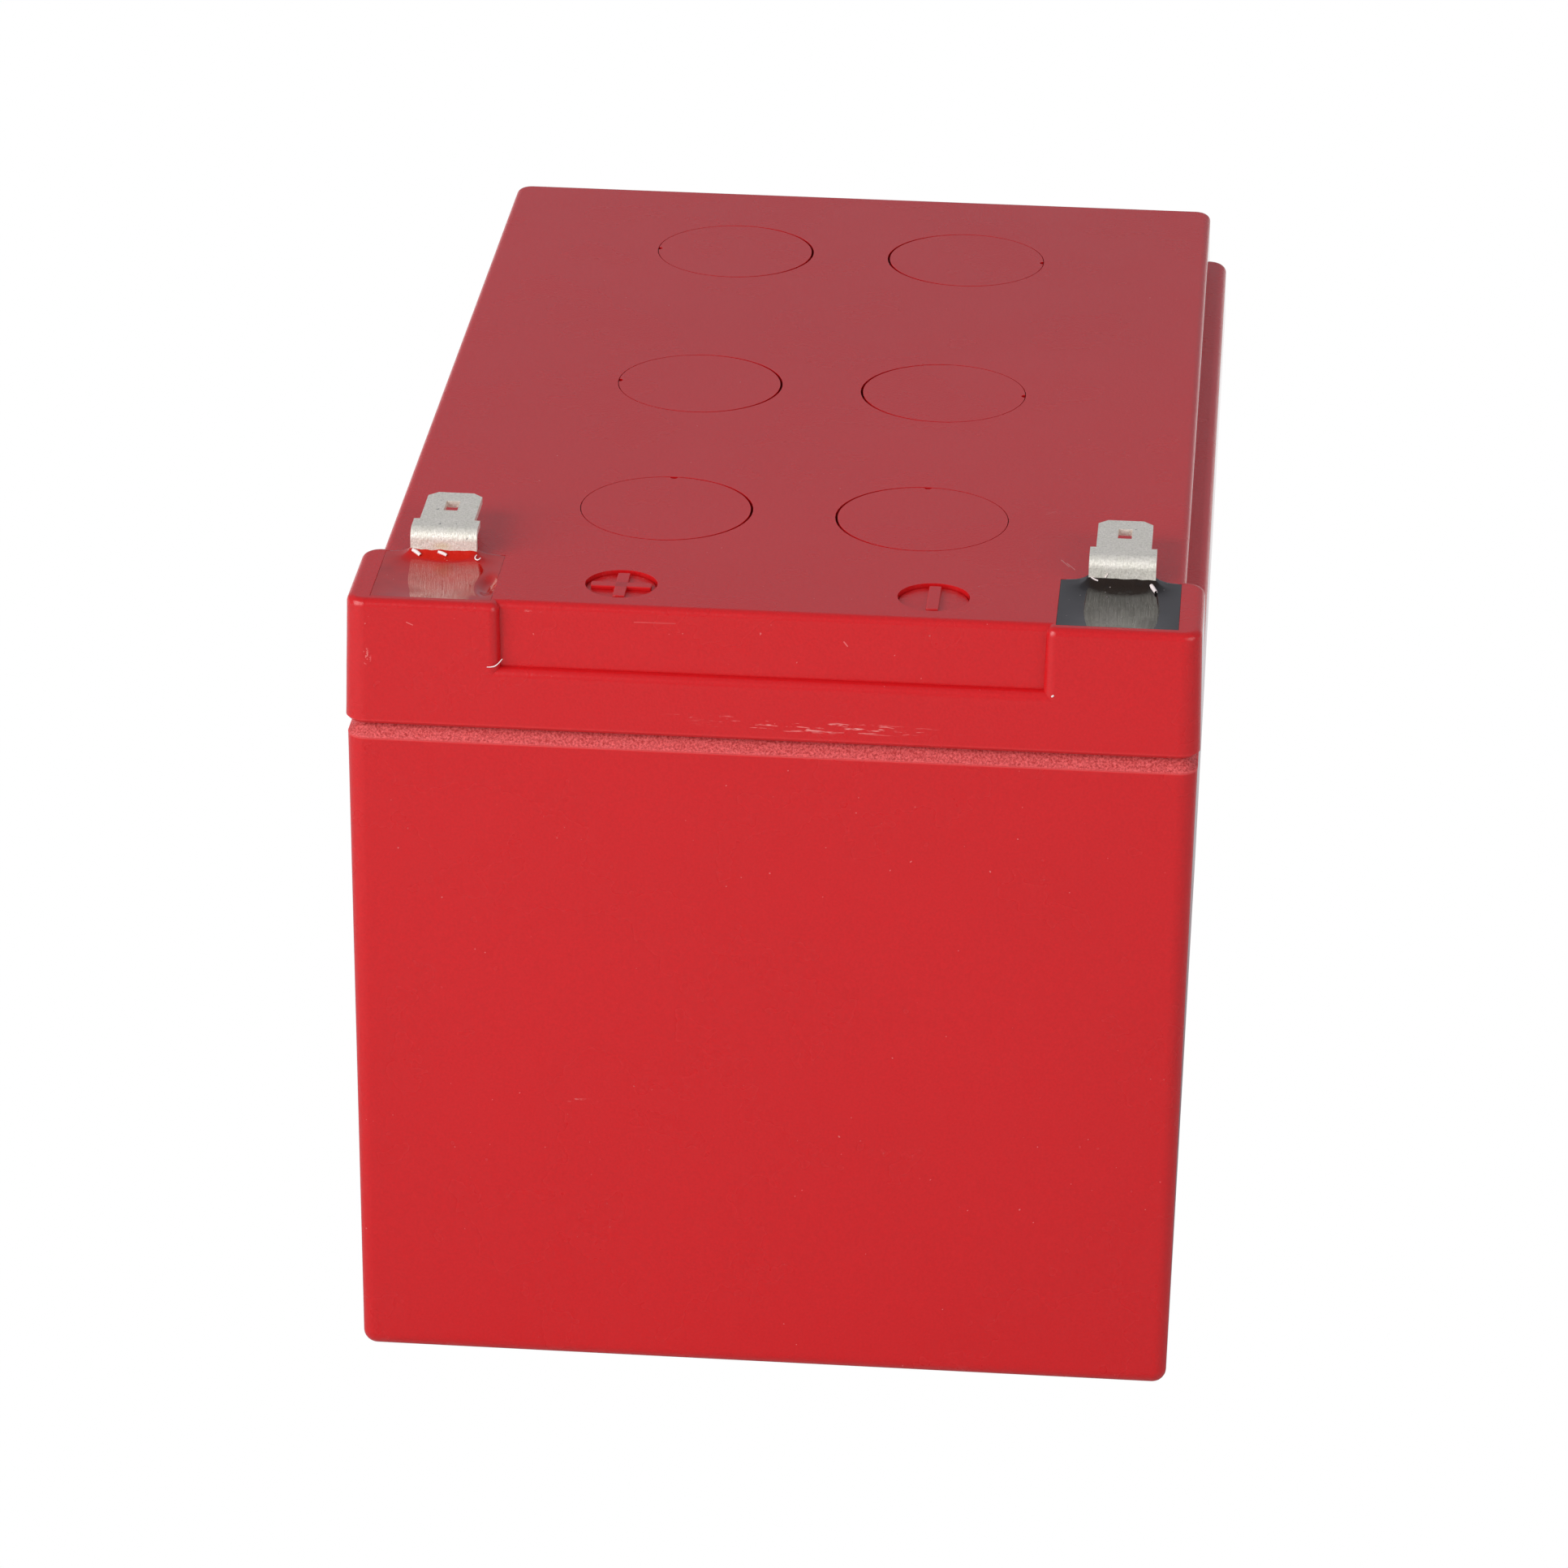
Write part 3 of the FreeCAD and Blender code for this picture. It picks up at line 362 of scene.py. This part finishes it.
def plastic_tone(shader, grain, sparkle, worn, groove):
    """Colour: broad tone, mottle, dust, chips, painted highlights on the skirt's lip above the
    groove and on the shoulder's edge below it, and the groove's grit with painted shade under the
    skirt.
    """
    height = shader.part_of(shader.place(), "Z")
    broad = shader.range(shader.noise(9, 2, 0.5), 0.25, 0.75, smooth=True)
    tone = shader.mix(broad, shaded(PLASTIC_RED, 0.965), shaded(PLASTIC_RED, 1.035))
    mottle = shader.range(grain, 0.3, 0.7, 0.0, 0.4)
    tone = shader.mix(mottle, tone, shaded(PLASTIC_RED, 0.7))
    speck = shader.noise(2600, 0, 0.5, offset=8.0)
    tone = shader.mix(shader.range(speck, 0.86, 0.875, 0.0, 0.35), tone, DUST)
    tone = shader.tint(tone, worn, 0.85, CHIPPED)
    # Painted highlight: a brighter red band on the skirt just above its bottom edge, where the
    # rounded edge would catch light.
    lip_highlight = band(shader, height, SKIRT_BOTTOM + 0.15, SKIRT_BOTTOM + 0.55, 0.15)
    tone = shader.tint(tone, lip_highlight, 0.14, SKIRT_LIP_HIGHLIGHT)
    # Painted shade: the groove's grit turns to its dark tone towards the top, under the skirt's
    # bottom edge.
    painted_shade_under_skirt = shader.range(height, (SKIRT_BOTTOM - 0.7) * MM, (SKIRT_BOTTOM - 0.15) * MM, 1.0, 0.3)
    grit_and_painted_shade = shader.math("MULTIPLY", shader.range(sparkle, 0.38, 0.62), painted_shade_under_skirt)
    tone = shader.mix(groove, tone, shader.mix(grit_and_painted_shade, GROOVE_DARK_GRIT_AND_SHADE, GROOVE_PALE))
    # Painted highlight: a bright red line along the shoulder's edge.
    shoulder_edge_highlight = band(shader, height, SHOULDER - 0.2, SHOULDER + 0.05, 0.1)
    return shader.tint(tone, shoulder_edge_highlight, 0.6, SHOULDER_EDGE_HIGHLIGHT)


def plastic_gloss(shader, worn, groove, polished):
    """Roughness: cloudy on the ends and the lid, nearly none on the long sides."""
    cloud = shader.noise(60, 4, 0.6, offset=3.0)
    gloss = shader.range(cloud, 0.2, 0.8, 0.23, 0.30, smooth=True)
    gloss = shader.math("MULTIPLY", gloss, shader.math("SUBTRACT", 1.0, polished))
    gloss = shader.plus(gloss, polished, 0.03)
    gloss = shader.plus(gloss, groove, 0.4)
    return shader.plus(gloss, worn, 0.15)


def plastic_relief(shader, grain, sparkle, groove, polished):
    """Bump: fine grain and pebbles off the long sides, and grit in the groove."""
    pebble = shader.noise(1500, 2, 0.6, offset=6.0)
    texture = shader.plus(grain, pebble, 0.6)
    texture = shader.math("MULTIPLY", texture, shader.math("SUBTRACT", 1.0, polished))
    even = shader.bump(texture, 0.000034)
    return shader.bump(shader.math("MULTIPLY", sparkle, groove), 0.00016, over=even)


def moulded_plastic(name):
    """Red moulded plastic with fine grain, handling marks, a rough weld groove, and painted
    highlights and painted shade about the groove.
    """
    shader = Shader(name)
    height = shader.part_of(shader.place(), "Z")
    grain = shader.noise(3300, 2, 0.7)
    sparkle = shader.noise(3800, 3, 0.7, offset=5.0)
    worn = scuffs(shader)
    groove = band(shader, height, SHOULDER - 0.05, SKIRT_BOTTOM - 0.1, 0.1)
    sideways = shader.math("ABSOLUTE", shader.part_of(shader.normal(), "X"))
    polished = shader.range(sideways, 0.95, 0.99)
    shader.set(
        Base_Color=plastic_tone(shader, grain, sparkle, worn, groove),
        Roughness=plastic_gloss(shader, worn, groove, polished),
        Normal=plastic_relief(shader, grain, sparkle, groove, polished),
        IOR=1.5,
        Subsurface_Weight=0.25,
        Subsurface_Radius=(1.0, 0.15, 0.12),
        Subsurface_Scale=0.5 * MM,
    )
    return shader.material


def resin(kind):
    """Glossy potting resin with a duller collar drawn up round the blade."""
    name, first, second, collar_tone, collar_reach = RESINS[kind]
    shader = Shader(name)
    ripple = shader.noise(420, 2, 0.5)
    ragged = shader.noise(1100, 3, 0.6, offset=1.0)
    fleck = shader.noise(2600, 1, 0.5, offset=2.0)
    root = (SIDES[kind] * BLADE_COLUMN, BLADE_MIDDLE, LID_TOP)
    collar = patch(shader, root, (BLADE_HALF_WIDTH + COLLAR_ASIDE, collar_reach, COLLAR_HEIGHT),
                   0.3)
    collar = shader.math("MULTIPLY", collar, shader.range(ragged, 0.3, 0.5, 0.6, 1.0))
    tone = shader.mix(shader.range(ripple, 0.3, 0.7), first, second)
    tone = shader.mix(collar, tone, collar_tone)
    tone = shader.mix(shader.range(fleck, 0.76, 0.78, 0.0, 0.5), tone, RESIN_FLECK)
    relief = shader.plus(shader.math("MULTIPLY", ripple, 0.2),
                         shader.math("MULTIPLY", ragged, collar), 1.4)
    shader.set(
        Base_Color=tone,
        Roughness=shader.range(collar, 0.2, 0.9, 0.01, 0.4),
        IOR=shader.range(collar, 0.2, 0.9, 1.6, 1.25),
        Normal=shader.bump(relief, 0.00005),
    )
    return shader.material


def tinned_metal(name):
    """Tin-plated brass with a satin skin, pits and stains."""
    shader = Shader(name)
    stain = shader.noise(700, 4, 0.65)
    pit = shader.noise(3200, 2, 0.7, offset=4.0)
    spot = shader.noise(1300, 2, 0.6, offset=9.0)
    brush = shader.noise(2600, 2, 0.5, stretch=(3, 1, 0.4), offset=7.0)
    tone = shader.mix(shader.range(stain, 0.3, 0.7), *TIN_TONES)
    tone = shader.mix(shader.range(pit, 0.35, 0.6, 0.45, 0.0), tone, TIN_PIT)
    tone = shader.mix(shader.range(spot, 0.68, 0.73, 0.0, 0.7), tone, TIN_SPOT)
    tone = shader.tint(tone, patch(shader, STAIN_PLACE, STAIN_REACH, 0.9), 0.45, TIN_STAIN)
    shader.set(
        Base_Color=tone,
        Metallic=0.4,
        Roughness=shader.range(stain, 0.3, 0.7, 0.42, 0.52),
        Normal=shader.bump(shader.math("ADD", brush, pit), 0.00005),
    )
    return shader.material


def matt(name):
    """Plain matt material with two tones of grain, for the sealed inner pieces."""
    first, second, roughness, per_metre, relief, metallic = MATT[name]
    shader = Shader(name)
    grain = shader.noise(per_metre, 4, 0.6)
    shader.set(Base_Color=shader.mix(grain, first, second), Metallic=metallic,
               Roughness=roughness, Normal=shader.bump(grain, relief))
    return shader.material


def white_film(name):
    """Slightly glossy white film with a faint grain."""
    shader = Shader(name)
    shader.set(Base_Color=shader.mix(shader.noise(3000, 2), *FILM_TONES), Roughness=0.3)
    return shader.material


# Pieces

def link_object(name, data):
    item = bpy.data.objects.new(name, data)
    bpy.context.collection.objects.link(item)
    return item


def mesh_object(name, corners, faces, material, smooth=True):
    """Object of corners in millimetres."""
    mesh = bpy.data.meshes.new(name)
    mesh.from_pydata([Vector(corner) * MM for corner in corners], [], faces)
    mesh.validate()
    mesh.materials.append(material)
    for polygon in mesh.polygons:
        polygon.use_smooth = smooth
    return link_object(name, mesh)


def soften(item, width, angle=None):
    """Bevel an object's sharp edges; the width is in millimetres."""
    edges = item.modifiers.new("soft_edges", "BEVEL")
    edges.width = width * MM
    edges.segments = 2
    edges.limit_method = "ANGLE"
    if angle:
        edges.angle_limit = math.radians(angle)


def distance_to_blade(x, y, side):
    """Distance in plan from the blade's root."""
    aside = max(abs(x - side * BLADE_COLUMN) - BLADE_HALF_WIDTH, 0.0)
    along = max(abs(y - BLADE_MIDDLE) - BLADE_THICKNESS / 2, 0.0)
    return math.hypot(aside, along)


def resin_level(x, y, side, low, high):
    """Height of the cast surface: a shallow bowl that climbs the blade, with a pit on the left."""
    across = 2 * (x - low[0]) / (high[0] - low[0]) - 1
    along = 2 * (y - low[1]) / (high[1] - low[1]) - 1
    bowl = BOWL_DEPTH * (1 - across * across) * (1 - along * along)
    climb = CLIMB_HEIGHT + CLIMB_UNEVEN * noise.noise(Vector((x * 0.9, 0, side * 5.0)))
    rise = climb * math.exp(-distance_to_blade(x, y, side) / CLIMB_REACH)
    wave = WAVE_HEIGHT * noise.noise(Vector((x * 0.3, y * 0.3, side * 3.0)))
    level = LID_TOP - RESIN_BELOW_LID - bowl + rise
    level += wave * (1 - across ** 4) * (1 - along ** 4)
    if side == SIDES["positive"]:
        across = (x - PIT_PLACE[0]) / PIT_REACH[0]
        along = (y - PIT_PLACE[1]) / PIT_REACH[1]
        level -= PIT_DEPTH * math.exp(-(across * across + along * along) ** 1.5)
    return level


def make_resin(kind, material):
    """Closed block of resin in the place of its CAD node, with the cast surface on top."""
    side = SIDES[kind]
    node = "terminal_resin_" + kind
    low, high = [[part / MM for part in corner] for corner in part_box(node)]
    columns = round((high[0] - low[0]) / RESIN_STEP)
    rows = round((high[1] - low[1]) / RESIN_STEP)
    wide = columns + 1
    corners = []
    for row in range(rows + 1):
        for column in range(wide):
            x = low[0] + (high[0] - low[0]) * column / columns
            y = low[1] + (high[1] - low[1]) * row / rows
            corners.append((x, y, resin_level(x, y, side, low, high)))
    faces = []
    for row in range(rows):
        for column in range(columns):
            first = row * wide + column
            faces.append((first, first + 1, first + 1 + wide, first + wide))
    rim = list(range(wide))
    rim += [row * wide + columns for row in range(1, rows + 1)]
    rim += [rows * wide + column for column in range(columns - 1, -1, -1)]
    rim += [row * wide for row in range(rows - 1, 0, -1)]
    base = len(corners)
    corners += [(corners[number][0], corners[number][1], low[2]) for number in rim]
    for number in range(len(rim)):
        after = (number + 1) % len(rim)
        faces.append((rim[after], rim[number], base + number, base + after))
    faces.append(tuple(base + number for number in range(len(rim) - 1, -1, -1)))
    item = mesh_object("resin_" + kind, corners, faces, material)
    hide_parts(node)
    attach(item, "root")


def bar_outline(turned):
    """Outline of one bar whose ends follow a circle, as points round it in millimetres."""
    points = []
    tilt = math.asin(BAR_HALF_WIDTH / BAR_REACH)
    for end in (0.0, math.pi):
        for number in range(7):
            turn = end + tilt * (number / 3 - 1)
            points.append((BAR_REACH * math.cos(turn), BAR_REACH * math.sin(turn)))
    if turned:
        points = [(-across, along) for along, across in points]
    return points


def make_mark(kind, material):
    """Raised bars on a low round pad: one along the length, and a second across it for plus."""
    column = SIDES[kind] * MARK_COLUMN
    disc = LID_TOP - MARK_DEPTH
    mesh = bmesh.new()
    middle = Vector((column, MARK_ROW, disc + PAD_HEIGHT / 2)) * MM
    bmesh.ops.create_cone(mesh, cap_ends=True, segments=72, radius1=PAD_RADIUS * MM,
                          radius2=PAD_TOP_RADIUS * MM, depth=PAD_HEIGHT * MM,
                          matrix=Matrix.Translation(middle))
    bottom = disc + PAD_HEIGHT - BAR_SINK
    for turned in ((True, False) if kind == "positive" else (True,)):
        height = BAR_HEIGHT if turned else BAR_HEIGHT - CROSSBAR_DROP
        ring = [mesh.verts.new(Vector((column + x, MARK_ROW + y, bottom)) * MM)
                for x, y in bar_outline(turned)]
        raised = bmesh.ops.extrude_face_region(mesh, geom=[mesh.faces.new(ring)])["geom"]
        moved = [part for part in raised if isinstance(part, bmesh.types.BMVert)]
        bmesh.ops.translate(mesh, verts=moved, vec=(0, 0, height * MM))
    bmesh.ops.recalc_face_normals(mesh, faces=mesh.faces)
    data = bpy.data.meshes.new("mark_" + kind)
    mesh.to_mesh(data)
    mesh.free()
    data.materials.append(material)
    item = link_object("mark_" + kind, data)
    soften(item, MARK_BEVEL)
    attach(item, "root")


def make_shred(name, width, points, material):
    """Thin curled sliver of film at a blade's root, or flash hair at a moulded corner."""
    curve = bpy.data.curves.new(name, "CURVE")
    curve.dimensions = "3D"
    spline = curve.splines.new("NURBS")
    spline.points.add(len(points) - 1)
    for number, (point, place) in enumerate(zip(spline.points, points)):
        point.co = (*(Vector(place) * MM), 1)
        point.radius = 0.4 + 0.6 * math.sin(math.pi * (number + 0.5) / len(points))
    spline.order_u = 3
    spline.use_endpoint_u = True
    curve.bevel_depth = width * MM / 2
    curve.bevel_resolution = 2
    curve.materials.append(material)
    item = link_object(name, curve)
    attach(item, "root")


def dress_nodes(materials):
    """Materials for the CAD nodes, and soft edges on the two blades."""
    for name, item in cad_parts.items():
        start = max((key for key in FINISHES if name.startswith(key)), key=len)
        item.data.materials.clear()
        item.data.materials.append(materials[FINISHES[start]])
        if name in ("terminal_positive", "terminal_negative"):
            soften(item, TERMINAL_BEVEL, 50)


# Camera, floor and lights

def make_camera():
    data = bpy.data.cameras.new("camera")
    data.lens = CAMERA_LENS
    data.sensor_width = SENSOR_WIDTH
    data.clip_start = 0.05
    data.clip_end = 20
    camera = link_object("camera", data)
    camera.location = Vector(CAMERA_PLACE) * MM
    camera.rotation_euler = Euler([math.radians(angle) for angle in CAMERA_TURNS], "XYZ")
    bpy.context.scene.camera = camera


def make_floor():
    """Pale floor that the camera sees as plain white paper, and that is clear from below.

    Gloss sees it grow white behind the battery, as in the photo's studio.
    """
    shader = Shader("white_floor")
    shader.set(Base_Color=FLOOR_TONE, Roughness=0.8)
    glow = shader.add("Emission")
    glow.inputs["Color"].default_value = WHITE
    path = shader.add("LightPath")
    behind = shader.range(shader.part_of(shader.place(), "Y"), 0.0, 0.25, 0.0, 0.85)
    seen = shader.math("MULTIPLY", path.outputs["Is Glossy Ray"], behind)
    seen = shader.math("MAXIMUM", seen, path.outputs["Is Camera Ray"])
    paper = shader.add("MixShader")
    shader.join(seen, paper.inputs[0])
    shader.join(shader.surface.outputs[0], paper.inputs[1])
    shader.join(glow.outputs[0], paper.inputs[2])
    one_sided = shader.add("MixShader")
    shader.join(shader.add("NewGeometry").outputs["Backfacing"], one_sided.inputs[0])
    shader.join(paper.outputs[0], one_sided.inputs[1])
    shader.join(shader.add("BsdfTransparent").outputs[0], one_sided.inputs[2])
    shader.join(one_sided.outputs[0], shader.tree.nodes["Material Output"].inputs["Surface"])
    corners = [(x * FLOOR_REACH, y * FLOOR_REACH, FLOOR_LEVEL)
               for x, y in ((-1, -1), (1, -1), (1, 1), (-1, 1))]
    floor = mesh_object("floor", corners, [(0, 1, 2, 3)], shader.material, smooth=False)


def make_world():
    """Even studio light that the camera sees as white."""
    world = bpy.data.worlds.new("studio")
    world.use_nodes = True
    bpy.context.scene.world = world
    tree = world.node_tree
    ambient = tree.nodes["Background"]
    ambient.inputs["Color"].default_value = AMBIENT
    white = tree.nodes.new("ShaderNodeBackground")
    white.inputs["Color"].default_value = WHITE
    path = tree.nodes.new("ShaderNodeLightPath")
    blend = tree.nodes.new("ShaderNodeMixShader")
    tree.links.new(path.outputs["Is Camera Ray"], blend.inputs[0])
    tree.links.new(ambient.outputs[0], blend.inputs[1])
    tree.links.new(white.outputs[0], blend.inputs[2])
    tree.links.new(blend.outputs[0], tree.nodes["World Output"].inputs["Surface"])


def make_lamp(name, place, target, size, power, colour):
    data = bpy.data.lights.new(name, "AREA")
    data.shape = "RECTANGLE"
    data.size, data.size_y = size
    data.energy = power
    data.color = colour
    lamp = link_object(name, data)
    lamp.location = place
    lamp.rotation_euler = (Vector(target) - Vector(place)).to_track_quat("-Z", "Y").to_euler()


def build():
    materials = {name: matt(name) for name in MATT}
    materials["red_moulded_plastic"] = moulded_plastic("red_moulded_plastic")
    materials["tinned_brass"] = tinned_metal("tinned_brass")
    dress_nodes(materials)
    for kind in SIDES:
        make_resin(kind, resin(kind))
        make_mark(kind, materials["red_moulded_plastic"])
    film = white_film("white_film")
    for name, slot, width, points in SHREDS:
        make_shred(name, width, points, film)
    make_camera()
    make_floor()
    make_world()
    for lamp in LAMPS:
        make_lamp(*lamp)
    bpy.context.scene.view_settings.view_transform = "Standard"


build()
